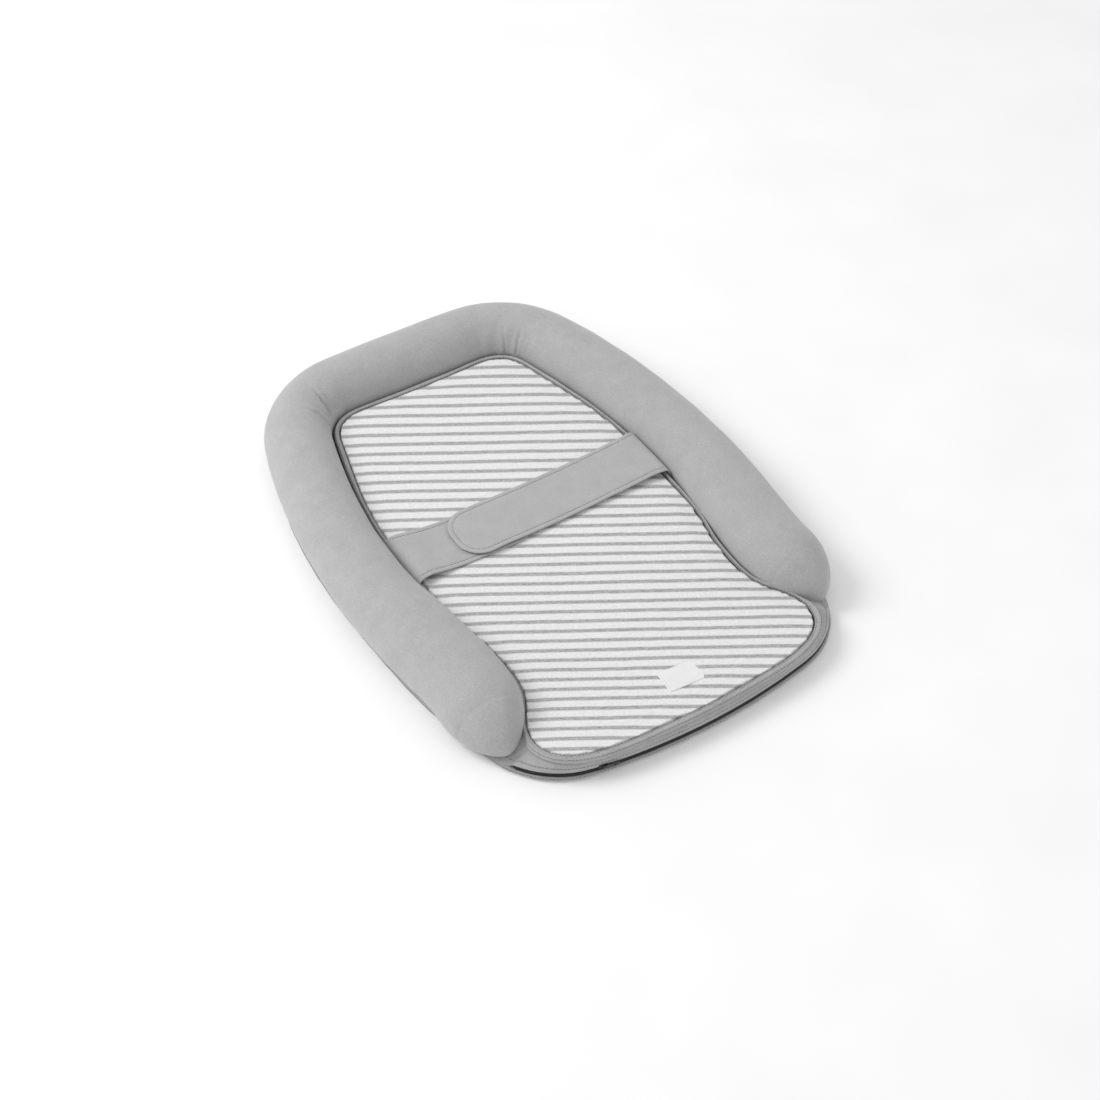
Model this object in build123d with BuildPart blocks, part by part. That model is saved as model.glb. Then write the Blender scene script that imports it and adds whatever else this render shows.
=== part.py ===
"""Baby changing pad: a flat striped mat inside a U-shaped bolster, with a two-strap belt and a zip.

Millimetres. +X is the right-hand side seen from the foot, +Y points to the head end, +Z is up.
The origin is the centre of the footprint, on the surface that the pad stands on.
"""

from build123d import *
import os
from math import cos, radians, sin

os.makedirs("parts", exist_ok=True)

# Overall
HALF_LENGTH = 344.3
TOP_OF_BASE = 8.4
TOP_OF_MAT = 27.0
GAP = 0.3  # clearance between pieces that move past each other
CRUMB = 0.02  # hairline between pieces that lie against each other
PLY = 1.6  # one layer of cover fabric with its lining
OUTLINE_STEPS = 60  # points on a moved outline, from foot to head

# Bolster: a round roll of filling, flattened underneath, swept round three sides
ROLL_RADIUS = 41.2
ROLL_CENTRE_HEIGHT = 24.0
ROLL_UNDERSIDE = TOP_OF_BASE + 0.2
HEAD_LINE = HALF_LENGTH - ROLL_RADIUS
HEAD_HALF_STRAIGHT = 85.0
HEAD_CORNER_RADIUS = 90.0
HEAD_CORNER_TURN = 72.0
SIDE_RADIUS = 789.0
SIDE_TURN = 25.0
WAIST_STRAIGHT = 61.5
FOOT_FLARE_RADIUS = 250.0
FOOT_FLARE_TURN = 10.0
ROLL_END_LENGTH = 72.0
ROLL_END_SHOULDER = (0.61, 0.68)  # share of the end's length, and of the radius left there

# Base outline
FOOT_RADIUS = 700.0
FOOT_HALF_ANGLE = 11.0
FOOT_CORNER_RADIUS = 102.0
FOOT_CORNER_TURN = 65.0
FOOT_CENTRE = (0, FOOT_RADIUS - HALF_LENGTH)
FOOT_CORNER_CENTRE = (
    (FOOT_RADIUS - FOOT_CORNER_RADIUS) * sin(radians(FOOT_HALF_ANGLE)),
    FOOT_CENTRE[1] - (FOOT_RADIUS - FOOT_CORNER_RADIUS) * cos(radians(FOOT_HALF_ANGLE)),
)
BASE_SIDE = [(230, -185), (241, -112), (247, -32), (247, 40), (241, 110), (228, 180),
             (206, 244), (174, 291), (130, 323), (85, 338)]
BASE_HEAD_Y = 341.0

# Striped top: right-hand half of its edge, from the foot round to the head
TOP_EDGE = [(0, -332.9), (72, -330), (128, -322.5), (155, -310.5), (168, -297), (173, -276),
            (168.5, -257), (158, -239), (148, -219), (144, -182), (146.5, -146), (155, -105),
            (159.5, -35), (159.5, 50), (155, 98), (141, 164), (129, 211), (121, 234.5), (108, 248),
            (66, 254.5), (0, 252.5)]
BINDING_WIDTH = 4.0

# Belt: a long strap from the right that closes on a short strap from the left
BELT_WIDTH = 73.0
BELT_Y = 6.7
BELT_ROOT_X = 165.4
RIGHT_THICK = 2.4
RIGHT_Z = 33.3
RIGHT_FOLD_1_X = 116.0
RIGHT_FOLD_2_X = 66.0
RIGHT_TIP_X = -100.5
RIGHT_TIP_ROUND = 30.0
LEFT_THICK = 2.2
LEFT_Z = 29.5
LEFT_FOLD_X = -116.0
LEFT_TIP_X = -20.0
LEFT_TIP_ROUND = 16.0
ANCHOR_LOW = 12.0
ANCHOR_THICK = 2.0
PATCH_LENGTH = 56.0
PATCH_WIDTH = 54.0
HOOK_MIDDLE_X = -60.0
HOOK_THICK = 0.7
LOOP_MIDDLE_X = -56.0
LOOP_THICK = 0.5

# Zip round the foot end, between the base and the foot wall
ZIP_BACK = 4.3
ZIP_FRONT = 3.3
ZIP_TAPE_LOW = 3.0
ZIP_COIL_LOW = 10.2
ZIP_COIL_HIGH = 12.6
ZIP_TAPE_HIGH = 18.0
ZIP_END_Y = -283.0
SLIDER_ANGLE = 10.2
SLIDER_LENGTH = 10.0
SLIDER_HEIGHT = 6.0
SLIDER_BACK = 3.0
SLIDER_FRONT = 1.0
PIN_RADIUS = 0.6
PIN_OUT = 0.5
PULL_LENGTH = 17.0
PULL_WIDTH = 4.4


def save(part, name):
    """Label one finished piece and write it as its own STEP file."""
    part.label = name
    export_step(part, f"parts/{name}.step")


# ---- Outlines ------------------------------------------------------------------------------

# Each outline is drawn as its right half, from the middle of the foot to the middle of the head.
with BuildLine() as base_edge:
    CenterArc(FOOT_CENTRE, FOOT_RADIUS, -90, FOOT_HALF_ANGLE)
    corner = CenterArc(
        FOOT_CORNER_CENTRE, FOOT_CORNER_RADIUS, FOOT_HALF_ANGLE - 90, FOOT_CORNER_TURN
    )
    Spline(corner @ 1, *BASE_SIDE, (0, BASE_HEAD_Y), tangents=(corner % 1, (-1, 0)))

with BuildLine() as top_edge:
    Spline(*TOP_EDGE, tangents=((1, 0), (-1, 0)))


def outline_face(edge, grow):
    """Face inside a half outline and its mirror image, with the edge moved out by grow."""
    wire = edge.wire()
    points = []
    for step in range(OUTLINE_STEPS + 1):
        share = step / OUTLINE_STEPS
        along = wire % share
        points.append(wire @ share + Vector(along.Y, -along.X, 0) * grow)
    with BuildSketch() as face:
        with BuildLine():
            Spline(*points, tangents=((1, 0), (-1, 0)))
            mirror(about=Plane.YZ)
        make_face()
    return face.sketch


def band(edge, low, high, outer, inner=None, zone=None):
    """Slab between two heights whose edge is the outline moved out by outer.

    With inner, the slab is a ring from inner to outer; with zone, only the part in that sketch.
    """
    with BuildPart() as slab:
        with BuildSketch(Plane.XY.offset(low)):
            add(outline_face(edge, outer))
            if inner is not None:
                add(outline_face(edge, inner), mode=Mode.SUBTRACT)
            if zone:
                add(zone, mode=Mode.INTERSECT)
        extrude(amount=high - low)
    return slab.part


# ---- Base ----------------------------------------------------------------------------------

save(band(base_edge, 0, 1.4, 0), "bottom_panel")
save(band(base_edge, 1.6, TOP_OF_BASE - 0.4, 0, inner=-2.6), "base_binding")
save(band(base_edge, 1.6, TOP_OF_BASE, -4.6), "base_wadding")

# ---- Mat -----------------------------------------------------------------------------------

save(band(top_edge, TOP_OF_BASE + 0.3, 20.8, 0), "foam_core")
save(band(top_edge, 21.0, TOP_OF_MAT - PLY - 0.2, 0), "mat_wadding")
save(band(top_edge, TOP_OF_MAT - PLY, TOP_OF_MAT, 0), "mat_top")
save(band(top_edge, TOP_OF_BASE + 0.3, 24.6, 1.8, inner=0.2), "mat_wall")

with BuildPart() as mat_binding:
    add(band(top_edge, 24.8, 28.2, BINDING_WIDTH, inner=0.2))
    fillet(mat_binding.edges().group_by(Axis.Z)[-1], 1.2)
save(mat_binding.part, "mat_binding")

with BuildPart() as label:
    with BuildSketch(Plane.XY.offset(TOP_OF_MAT + 0.05)):
        with Locations((3.6, -287.7)):
            RectangleRounded(47, 28.5, 1.5, rotation=-4)
    extrude(amount=0.6)
save(label.part, "label")

# ---- Bolster -------------------------------------------------------------------------------

with BuildLine() as roll_path:
    head = Line((0, HEAD_LINE), (HEAD_HALF_STRAIGHT, HEAD_LINE))
    head_corner = JernArc(head @ 1, head % 1, HEAD_CORNER_RADIUS, -HEAD_CORNER_TURN)
    side = JernArc(head_corner @ 1, head_corner % 1, SIDE_RADIUS, -SIDE_TURN)
    waist = Line(side @ 1, side @ 1 + (side % 1) * WAIST_STRAIGHT)
    flare = JernArc(waist @ 1, waist % 1, FOOT_FLARE_RADIUS, FOOT_FLARE_TURN)

roll_end = flare @ 1
roll_heading = flare % 1
head_plane = Plane(origin=(0, HEAD_LINE, 0), x_dir=(0, 1, 0), z_dir=(1, 0, 0))


def roll(inset, end_gap=0.0, tube=True, ends=True):
    """Right half of the roll, every face moved in by inset; end_gap parts its end from the tube."""
    radius = ROLL_RADIUS - inset
    underside = ROLL_UNDERSIDE + inset
    with BuildPart() as half:
        if tube:
            with BuildSketch(head_plane):
                with Locations((0, ROLL_CENTRE_HEIGHT)):
                    Circle(radius)
                with Locations((0, underside)):
                    Rectangle(
                        4 * radius, 2 * radius, align=(Align.CENTER, Align.MAX), mode=Mode.SUBTRACT
                    )
            sweep(path=roll_path.line)
        if ends:
            length = ROLL_END_LENGTH - inset - end_gap
            centre = roll_end + roll_heading * end_gap + Vector(0, 0, ROLL_CENTRE_HEIGHT)
            with BuildSketch(Plane(origin=centre, x_dir=roll_heading, z_dir=(0, 0, 1))):
                with BuildLine():
                    shoulder = (length * ROLL_END_SHOULDER[0], radius * ROLL_END_SHOULDER[1])
                    Spline((0, radius), shoulder, (length, 0), tangents=((1, 0), (0, -1)))
                    Polyline((0, radius), (0, 0), (length, 0))
                make_face()
            revolve(axis=Axis(centre, roll_heading))
            with BuildSketch(Plane.XY.offset(underside)):
                with Locations((centre.X, centre.Y)):
                    Rectangle(4 * ROLL_END_LENGTH, 4 * ROLL_END_LENGTH)
            extrude(amount=-ROLL_RADIUS, mode=Mode.SUBTRACT)
    return half.part


with BuildPart() as bolster_cover:
    add(roll(0, ends=False))
    add(roll(PLY, ends=False), mode=Mode.SUBTRACT)
    mirror(about=Plane.YZ)
save(bolster_cover.part, "bolster_cover")

with BuildPart() as bolster_filling:
    add(roll(PLY + 0.3))
    mirror(about=Plane.YZ)
save(bolster_filling.part, "bolster_filling")

with BuildPart() as bolster_cap_right:
    add(roll(0, end_gap=0.2, tube=False))
    add(roll(PLY, tube=False), mode=Mode.SUBTRACT)
save(bolster_cap_right.part, "bolster_cap_right")
save(bolster_cap_right.part.mirror(Plane.YZ), "bolster_cap_left")

# ---- Foot wall and zip ---------------------------------------------------------------------

with BuildSketch() as foot_zone:
    with Locations((0, ZIP_END_Y)):
        Rectangle(2 * FOOT_RADIUS, 200, align=(Align.CENTER, Align.MAX))

with BuildPart() as foot_wall:
    add(band(base_edge, 13.0, 21.0, -4.6, zone=foot_zone.sketch))
    add(band(top_edge, 13.0, 21.0, 2.0), mode=Mode.SUBTRACT)
save(foot_wall.part, "foot_wall")

for name, low, high in (
    ("zip_tape_lower", ZIP_TAPE_LOW, ZIP_COIL_LOW),
    ("zip_tape_upper", ZIP_COIL_HIGH, ZIP_TAPE_HIGH),
):
    save(band(base_edge, low, high, -ZIP_FRONT, inner=-ZIP_BACK, zone=foot_zone.sketch), name)

coil_end_y = ZIP_END_Y - 4
with BuildSketch() as coil_zone:
    with Locations((0, coil_end_y)):
        Rectangle(2 * FOOT_RADIUS, 200, align=(Align.CENTER, Align.MAX))

ZIP_MIDDLE = (ZIP_COIL_LOW + ZIP_COIL_HIGH) / 2
for name, low, high in (
    ("zip_coil_lower", ZIP_COIL_LOW + CRUMB, ZIP_MIDDLE - CRUMB),
    ("zip_coil_upper", ZIP_MIDDLE + CRUMB, ZIP_COIL_HIGH - CRUMB),
):
    save(band(base_edge, low, high, -2.6, inner=-4.5, zone=coil_zone.sketch), name)

with BuildSketch() as stop_zone:
    with Locations((0, ZIP_END_Y)):
        Rectangle(2 * FOOT_RADIUS, 3.8, align=(Align.CENTER, Align.MAX))
save(
    band(base_edge, ZIP_COIL_LOW + CRUMB, ZIP_COIL_HIGH - CRUMB, -2.4, inner=-4.6,
         zone=stop_zone.sketch),
    "zip_stops",
)

# The slider stands on the foot arc. In its plane x runs along the zip, y up and z outwards.
slider_turn = radians(-90 - SLIDER_ANGLE)
outwards = Vector(cos(slider_turn), sin(slider_turn), 0)
slider_spot = Vector(*FOOT_CENTRE, ZIP_MIDDLE) + outwards * FOOT_RADIUS
slider_plane = Plane(origin=slider_spot, x_dir=(-outwards.Y, outwards.X, 0), z_dir=outwards)
pin_spot = slider_spot + outwards * PIN_OUT
coil_half_height = (ZIP_COIL_HIGH - ZIP_COIL_LOW) / 2
LUG_INNER = 1.4
LUG_OUTER = 2.2
KNUCKLE_RADIUS = 1.2
NECK_LENGTH = 2.2
PULL_THICK = 1.2

with BuildPart() as zip_slider:
    with BuildSketch(slider_plane.offset(-SLIDER_BACK)):
        RectangleRounded(SLIDER_LENGTH, SLIDER_HEIGHT, 1.6)
    extrude(amount=SLIDER_BACK - SLIDER_FRONT)
    fillet(zip_slider.faces().sort_by(Axis(slider_spot, outwards))[-1].edges(), 0.5)
    with BuildSketch(slider_plane.offset(-SLIDER_BACK)):
        Rectangle(2 * SLIDER_LENGTH, 2 * (coil_half_height + GAP))
    extrude(amount=0.7, mode=Mode.SUBTRACT)
    with BuildSketch(slider_plane.offset(-SLIDER_FRONT - 0.2)):
        for side_sign in (-1, 1):
            with Locations((0, side_sign * (LUG_INNER + LUG_OUTER) / 2)):
                Rectangle(2 * KNUCKLE_RADIUS * 0.8, LUG_OUTER - LUG_INNER)
    extrude(amount=SLIDER_FRONT + 0.2 + PIN_OUT + PIN_RADIUS)
    with BuildSketch(Plane.XY.offset(ZIP_MIDDLE - LUG_OUTER)):
        with Locations((pin_spot.X, pin_spot.Y)):
            Circle(PIN_RADIUS)
    extrude(amount=2 * LUG_OUTER)
save(zip_slider.part, "zip_slider")

with BuildPart() as zip_pull:
    with BuildSketch(slider_plane.offset(PIN_OUT)):
        with Locations((NECK_LENGTH, 0)):
            RectangleRounded(
                PULL_LENGTH - NECK_LENGTH, PULL_WIDTH, 1.4, align=(Align.MIN, Align.CENTER)
            )
        Rectangle(NECK_LENGTH + 1, 2 * (LUG_INNER - GAP), align=(Align.MIN, Align.CENTER))
        with Locations((PULL_LENGTH - 4.5, 0)):
            SlotOverall(5, 1.8, mode=Mode.SUBTRACT)
    extrude(amount=PULL_THICK / 2, both=True)
    with BuildSketch(Plane.XY.offset(ZIP_MIDDLE - LUG_INNER + GAP)):
        with Locations((pin_spot.X, pin_spot.Y)):
            Circle(KNUCKLE_RADIUS)
    extrude(amount=2 * (LUG_INNER - GAP))
    with BuildSketch(Plane.XY.offset(ZIP_MIDDLE - LUG_INNER)):
        with Locations((pin_spot.X, pin_spot.Y)):
            Circle(PIN_RADIUS + 0.06)
    extrude(amount=2 * LUG_INNER, mode=Mode.SUBTRACT)
save(zip_pull.part, "zip_pull")

# ---- Belt ----------------------------------------------------------------------------------


def strap_span(near_x, far_x, height, thick, tip_round=0.0):
    """One stretch of a strap: half-round where it folds, square or with a rounded tip beyond."""
    way = 1 if far_x > near_x else -1
    reach = abs(far_x - near_x)
    with BuildPart() as span:
        with BuildSketch(Plane.XZ.offset(-BELT_Y)):
            with Locations((near_x, height)):
                Circle(thick / 2)
            with Locations((near_x + way * reach / 2, height)):
                Rectangle(reach, thick)
        extrude(amount=BELT_WIDTH / 2, both=True)
        if tip_round:
            corners = span.edges().filter_by(Axis.Z).group_by(Axis.X)[-1 if way > 0 else 0]
            fillet(corners, tip_round)
    return span.part


def fold_clear(thick):
    """Space from a fold line to the stretch before it, so that the round end can turn."""
    return thick / 2 + GAP


for name, near_x, far_x, tip_round in (
    ("belt_right_root", BELT_ROOT_X, RIGHT_FOLD_1_X + fold_clear(RIGHT_THICK), 0),
    ("belt_right_middle", RIGHT_FOLD_1_X, RIGHT_FOLD_2_X + fold_clear(RIGHT_THICK), 0),
    ("belt_right_end", RIGHT_FOLD_2_X, RIGHT_TIP_X, RIGHT_TIP_ROUND),
):
    save(strap_span(near_x, far_x, RIGHT_Z, RIGHT_THICK, tip_round), name)

for name, near_x, far_x, tip_round in (
    ("belt_left_root", -BELT_ROOT_X, LEFT_FOLD_X - fold_clear(LEFT_THICK), 0),
    ("belt_left_end", LEFT_FOLD_X, LEFT_TIP_X, LEFT_TIP_ROUND),
):
    save(strap_span(near_x, far_x, LEFT_Z, LEFT_THICK, tip_round), name)

for name, middle_x, low, thick in (
    ("hook_patch", HOOK_MIDDLE_X, RIGHT_Z - RIGHT_THICK / 2 - HOOK_THICK, HOOK_THICK),
    ("loop_patch", LOOP_MIDDLE_X, LEFT_Z + LEFT_THICK / 2, LOOP_THICK),
):
    with BuildPart() as patch:
        with BuildSketch(Plane.XY.offset(low)):
            with Locations((middle_x, BELT_Y)):
                RectangleRounded(PATCH_LENGTH, PATCH_WIDTH, 6)
        extrude(amount=thick)
    save(patch.part, name)

for name, side_sign, strap_underside in (
    ("belt_anchor_right", 1, RIGHT_Z - RIGHT_THICK / 2),
    ("belt_anchor_left", -1, LEFT_Z - LEFT_THICK / 2),
):
    with BuildPart() as anchor:
        with BuildSketch(Plane.XY.offset(ANCHOR_LOW)):
            with Locations((side_sign * BELT_ROOT_X, BELT_Y)):
                Rectangle(ANCHOR_THICK, BELT_WIDTH)
        extrude(amount=strap_underside - GAP - ANCHOR_LOW)
    save(anchor.part, name)
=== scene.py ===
"""Looks of a baby changing pad: a striped mat in a U-shaped bolster, with a belt and a zip.

Metres, in the frame of the CAD model: +X is the right-hand side seen from the foot, +Y points to
the head end and +Z is up. MM turns the named sizes, which are millimetres, into metres.
"""

import math
from contextlib import contextmanager

import bmesh
import bpy
import numpy as np
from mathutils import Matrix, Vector


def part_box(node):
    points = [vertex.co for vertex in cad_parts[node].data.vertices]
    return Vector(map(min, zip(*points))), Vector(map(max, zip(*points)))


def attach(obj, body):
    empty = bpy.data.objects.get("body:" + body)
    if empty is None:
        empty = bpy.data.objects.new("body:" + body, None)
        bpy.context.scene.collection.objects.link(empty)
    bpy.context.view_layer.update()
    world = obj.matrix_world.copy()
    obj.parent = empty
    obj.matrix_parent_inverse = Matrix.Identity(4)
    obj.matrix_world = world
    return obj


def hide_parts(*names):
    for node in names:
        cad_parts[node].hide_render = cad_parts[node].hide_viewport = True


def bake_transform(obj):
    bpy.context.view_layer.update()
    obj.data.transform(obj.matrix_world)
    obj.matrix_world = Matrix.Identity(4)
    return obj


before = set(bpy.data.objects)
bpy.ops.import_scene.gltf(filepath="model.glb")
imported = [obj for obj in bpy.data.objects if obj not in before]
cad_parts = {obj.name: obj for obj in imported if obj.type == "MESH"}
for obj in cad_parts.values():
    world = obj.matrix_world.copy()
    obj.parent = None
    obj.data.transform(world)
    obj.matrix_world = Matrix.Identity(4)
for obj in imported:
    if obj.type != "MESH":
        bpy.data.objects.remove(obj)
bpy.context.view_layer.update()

MM = 0.001

# ---- Sizes ----

# Bolster, along the same line as its CAD solid
ROLL_HEIGHT = 24.0 * MM  # middle of the roll above the floor
ROLL_FLOOR = 8.9 * MM  # its flattened underside
HEAD_HALF_STRAIGHT = 85.0 * MM
ROLL_ARCS = (  # (radius, turn in degrees) of each stretch after the head; no radius is straight
    (90.0 * MM, 72.0),
    (789.0 * MM, 25.0),
    (None, 61.5 * MM),
    (250.0 * MM, -10.0),
)
CAD_ROLL_RADIUS = 41.2 * MM
ROLL_RADIUS = 42.6 * MM
HEAD_CORNER_SLIM = 1.6 * MM
FOOT_SWELL = 2.6 * MM
INNER_SHOULDER = 0.085  # how much the roll bulges over the mat, as a share of its radius
END_LENGTH = 73.0 * MM
ROLL_SIDES = 56
END_STEPS = 18
END_BLUNTNESS = 0.68  # less makes the end fuller near its tip
END_DRIFT = 0.5 * MM  # how far the rounded end leans outwards
END_SAG = 3.0 * MM  # how far its tip hangs down
CAP_SEAM = 30.0 * MM  # from the end of the tube to the end cap's seam
SEAM_DEPTH = 0.45 * MM
SWELL = 3.5 * MM  # how far the simulation may push the cloth out

# Mat and its edge
CROWN = 0.9 * MM
BINDING_WIDE = 8.4 * MM  # from its seam to its outer edge, round the foot

# Belt
BELT_MIDDLE_Y = 6.7 * MM
BELT_HALF_WIDTH = 36.5 * MM
TOPSTITCH_IN = 5.5 * MM
RIGHT_STRAP = {"thickness": 2.4 * MM, "tip_round": 30.0 * MM, "drift": -0.016, "seed": 21}
LEFT_STRAP = {"thickness": 2.2 * MM, "tip_round": 16.0 * MM, "drift": -0.035, "seed": 22}
EDGE_ROUND = 2.0 * MM
ROOT_FLARE = 2.2 * MM

# Zip
COIL_PITCH = 1.5 * MM
COIL_APART = 0.84 * MM  # between the middles of the two coils
COIL_WIDE = 1.5 * MM
COIL_TALL = 1.44 * MM
COIL_WIRE = 0.54 * MM

# Thread
STITCH_LENGTH = 2.9 * MM
STITCH_GAP = 0.9 * MM
THREAD_RADIUS = 0.28 * MM


# ---- Mesh helpers ----


def add_to_scene(name, data):
    obj = bpy.data.objects.new(name, data)
    bpy.context.scene.collection.objects.link(obj)
    return obj


def shade_smooth(mesh):
    mesh.polygons.foreach_set("use_smooth", [True] * len(mesh.polygons))


def mesh_object(name, points, faces, material=None):
    """New smooth shaded object from its points and faces."""
    mesh = bpy.data.meshes.new(name)
    mesh.from_pydata(np.reshape(points, (-1, 3)).tolist(), [], faces)
    shade_smooth(mesh)
    if material:
        mesh.materials.append(material)
    return add_to_scene(name, mesh)


def grid_faces(rows, columns, closed_rows=False, closed_columns=False):
    """Quads of a grid of points, row by row."""
    r = np.arange(rows if closed_rows else rows - 1)
    c = np.arange(columns if closed_columns else columns - 1)
    r, c = np.meshgrid(r, c, indexing="ij")
    r2, c2 = (r + 1) % rows, (c + 1) % columns
    quads = np.stack([r * columns + c, r * columns + c2, r2 * columns + c2, r2 * columns + c], -1)
    return quads.reshape(-1, 4)


def grid_object(name, points, material, closed_rows=False, closed_columns=False, uv=None):
    """Object from points[row, column]; uv gives the cloth coordinates of each point, in metres."""
    faces = grid_faces(*points.shape[:2], closed_rows, closed_columns).tolist()
    obj = mesh_object(name, points, faces, material)
    if uv is not None:
        layer = obj.data.uv_layers.new(name="cloth")
        loops = np.zeros(len(obj.data.loops), int)
        obj.data.loops.foreach_get("vertex_index", loops)
        layer.data.foreach_set("uv", uv.reshape(-1, 2)[loops].ravel())
    return obj


def strip_object(name, line, points, material, closed=True):
    """Strip of cloth with points[line, profile]; its cloth coordinates run along and across it."""
    v = across_strip(points)
    u = np.broadcast_to(along_path(line)[:, None], v.shape)
    return grid_object(name, points, material, closed_rows=closed, uv=np.stack([u, v], 2))


def across_strip(points):
    """Distance across a strip laid flat, from its first profile point to each of them."""
    across = np.linalg.norm(np.diff(points, axis=1), axis=2)
    return np.c_[np.zeros(len(points)), np.cumsum(across, axis=1)]


@contextmanager
def editing(mesh):
    """A mesh as a bmesh, written back at the end."""
    work = bmesh.new()
    work.from_mesh(mesh)
    work.verts.ensure_lookup_table()
    yield work
    work.to_mesh(mesh)
    work.free()


def point_numbers(points):
    """Vertex number of each point of a grid."""
    return np.arange(points.shape[0] * points.shape[1]).reshape(points.shape[:2])


def close_up(obj, *rings, sharp=False):
    """Puts a face over each ring of vertex numbers and turns all faces outwards.

    A sharp rim keeps the face over it from bending the shading of its neighbours.
    """
    with editing(obj.data) as work:
        for ring in rings:
            face = work.faces.new([work.verts[k] for k in ring.tolist()])
            face.smooth = not sharp
            for edge in face.edges:
                edge.smooth = not sharp
        bmesh.ops.recalc_face_normals(work, faces=work.faces)


def solid_object(name, points, material=None, along_rows=False, uv=None, sharp=False):
    """Tube from a grid of points, closed at both ends; its rings run along its columns or rows."""
    obj = grid_object(name, points, material, not along_rows, along_rows, uv)
    numbers = point_numbers(points)
    first, last = (numbers[0], numbers[-1, ::-1]) if along_rows else (numbers[::-1, 0], numbers[:, -1])
    close_up(obj, first, last, sharp=sharp)
    return obj


def vertex_array(obj, field="co"):
    """Places (co) or directions (normal) of an object's vertices."""
    values = np.zeros(len(obj.data.vertices) * 3)
    obj.data.vertices.foreach_get(field, values)
    return values.reshape(-1, 3)


def set_vertices(obj, co):
    obj.data.vertices.foreach_set("co", co.ravel())
    obj.data.update()


def unit(ways):
    """Directions scaled to length 1."""
    return ways / (np.linalg.norm(ways, axis=-1, keepdims=True) + 1e-12)


def along_path(path):
    """Distance along a path to each of its points."""
    return np.r_[0, np.cumsum(np.linalg.norm(np.diff(path, axis=0), axis=1))]


def looped(path):
    """The path with its first point once more at its end."""
    return np.vstack([path, path[:1]])


def loop_length(outline):
    return along_path(looped(outline))[-1]


def sample(values, along, spots):
    """Values that a path's points have at other distances along it."""
    return np.stack([np.interp(spots, along, column) for column in values.T], -1)


def smooth_closed(values, passes):
    """Evens out values round a closed loop."""
    for _ in range(passes):
        values = 0.25 * np.roll(values, 1, 0) + 0.5 * values + 0.25 * np.roll(values, -1, 0)
    return values


def ease(x):
    """0 to 1 with soft ends."""
    x = np.clip(x, 0, 1)
    return x * x * (3 - 2 * x)


def bell(x, width):
    return np.exp(-((x / width) ** 2))


def waves(place, lengths, seed):
    """Sum of sine waves in random directions, from about -1 to 1: soft unevenness over place."""
    own = np.random.default_rng(seed)
    total = np.zeros(len(place))
    for length in lengths:
        way = own.normal(size=place.shape[1])
        way *= 2 * math.pi / (length * np.linalg.norm(way))
        total += np.sin(place @ way + own.uniform(0, 2 * math.pi))
    return total / len(lengths)


def node_outline(node, count):
    """Edge of a flat CAD node from above: equally spaced points, anticlockwise from the foot."""
    co = vertex_array(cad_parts[node])
    edge = co[co[:, 2] > co[:, 2].max() - 1e-5][:, :2]
    turn = np.arctan2(edge[:, 0], -(edge[:, 1] + 100 * MM))
    edge = edge[np.argsort(np.where(turn < 0, turn + 2 * math.pi, turn))]
    edge = edge[np.r_[True, np.linalg.norm(np.diff(edge, axis=0), axis=1) > 1e-6]]
    loop = looped(edge)
    along = along_path(loop)
    return smooth_closed(sample(loop, along, np.arange(count) / count * along[-1]), 2)


def outward(outline):
    """Unit normals of a closed anticlockwise outline, away from its inside."""
    along = unit(np.roll(outline, -1, 0) - np.roll(outline, 1, 0))
    return np.stack([along[:, 1], -along[:, 0]], 1)


def loft(outline, offsets, heights, out=None):
    """Points [outline, profile]: offsets outwards and heights, one profile for all or one each."""
    shape = (len(outline), np.shape(heights)[-1])
    offsets, heights = np.broadcast_to(offsets, shape), np.broadcast_to(heights, shape)
    out = outward(outline) if out is None else out
    flat = outline[:, None, :] + out[:, None, :] * offsets[:, :, None]
    return np.concatenate([flat, heights[:, :, None]], 2)


# ---- Thread ----


def stitches(path, normals, radius):
    """Mesh data of thread stitches laid end to end along path: (points, faces)."""
    shape = ((-0.5, 0.35, -0.8), (-0.38, 0.9, 0.5), (0.0, 1.0, 1.0), (0.38, 0.9, 0.5),
             (0.5, 0.35, -0.8))  # place along the stitch, thickness and lift of each ring
    sides = 6
    along = along_path(path)
    verts, faces = [], []
    for start in np.arange(0, along[-1] - STITCH_LENGTH, STITCH_LENGTH + STITCH_GAP):
        middle = start + STITCH_LENGTH / 2
        at = sample(path, along, middle)
        forward = unit(sample(path, along, middle + 1 * MM) - at)
        across = unit(np.cross(sample(normals, along, middle), forward))
        up = np.cross(forward, across)
        first = len(verts)
        for place, fat, lift in shape:
            centre = at + forward * place * STITCH_LENGTH + up * lift * radius * 0.5
            for k in range(sides):
                turn = 2 * math.pi * k / sides
                verts.append(centre + fat * radius * (across * math.cos(turn) + up * math.sin(turn)))
        faces += (grid_faces(len(shape), sides, closed_columns=True) + first).tolist()
        faces.append([first + k for k in reversed(range(sides))])
        faces.append([first + (len(shape) - 1) * sides + k for k in range(sides)])
    return verts, faces


def stitch_row(name, slot, path, normals, radius=THREAD_RADIUS):
    """Row of stitches on the pad, as a piece of its own."""
    return place_piece(mesh_object(name, *stitches(path, normals, radius), THREAD_AND_SEAM_SHADE), slot)


def sew(obj, rows, material, radius=THREAD_RADIUS):
    """Adds rows of stitches, each (path, normals), to an object's own mesh."""
    slot = len(obj.data.materials)
    obj.data.materials.append(material)
    with editing(obj.data) as work:
        for path, normals in rows:
            verts, faces = stitches(path, normals, radius)
            made = [work.verts.new(v) for v in verts]
            for face in faces:
                new = work.faces.new([made[k] for k in face])
                new.material_index = slot
                new.smooth = True


# ---- Placing pieces ----


def place_piece(obj, slot, *nodes):
    """Puts a piece on the pad's body, in place of CAD nodes, which it hides."""
    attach(obj, "pad")
    if nodes:
        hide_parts(*nodes)
    return obj


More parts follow.
